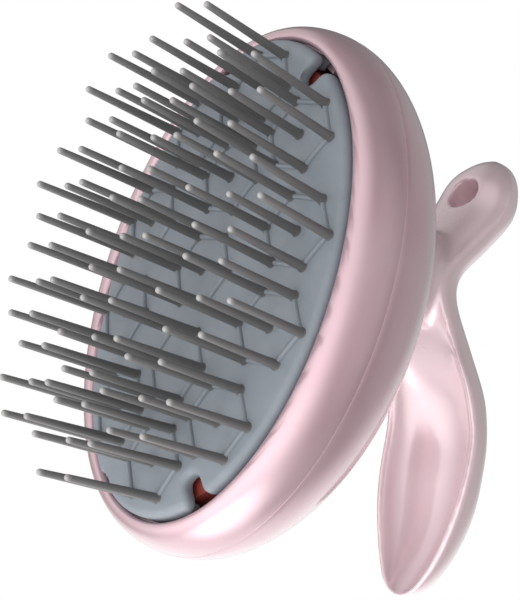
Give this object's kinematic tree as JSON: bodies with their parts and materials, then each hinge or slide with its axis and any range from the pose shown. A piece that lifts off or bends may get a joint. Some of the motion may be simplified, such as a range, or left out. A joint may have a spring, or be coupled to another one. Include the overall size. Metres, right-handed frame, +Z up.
{
  "type": "scalp massager brush",
  "caption": "Hand-held scalp massage brush: oval hollow body with a two-lobed finger grip on top and an elastomer pad of round-tipped pins below.",
  "frame": {"origin": "on the surface that the pin tips stand on, under the middle of the oval body", "axes": "+Z up through the grip, +Y along the long way of the body towards the long lobe of the grip, +X across it"},
  "size_m": [0.0628, 0.0844, 0.0831],
  "materials": {
    "pearl_body": "pearlescent moulded ABS, high gloss",
    "pearl_grip": "pearlescent moulded ABS, high gloss",
    "pad_elastomer": "smooth satin elastomer",
    "pin_nylon": "satin moulded nylon",
    "carrier_plastic": "satin",
    "screw_steel": "plain stainless"
  },
  "bodies": {
    "body": {"rear_shell": "pearl_body", "front_rim": "pearl_body", "grip": "pearl_grip", "grip_screws": "screw_steel"},
    "insert": {"brush_pad": "pad_elastomer", "pad_carrier": "carrier_plastic", "pins_north": "pin_nylon", "pins_mid_north": "pin_nylon", "pins_centre": "pin_nylon", "pins_mid_south": "pin_nylon", "pins_south": "pin_nylon", "pins_right_upper": "pin_nylon", "pins_right_lower": "pin_nylon", "pins_right_north": "pin_nylon", "pins_right_south": "pin_nylon", "pins_left_upper": "pin_nylon", "pins_left_lower": "pin_nylon", "pins_left_north": "pin_nylon", "pins_left_south": "pin_nylon"}
  },
  "joints": [
    {"name": "insert_release", "type": "slide", "parent": "body", "child": "insert", "axis": [0, 0, -1], "range_m": [0, 0.016]}
  ]
}
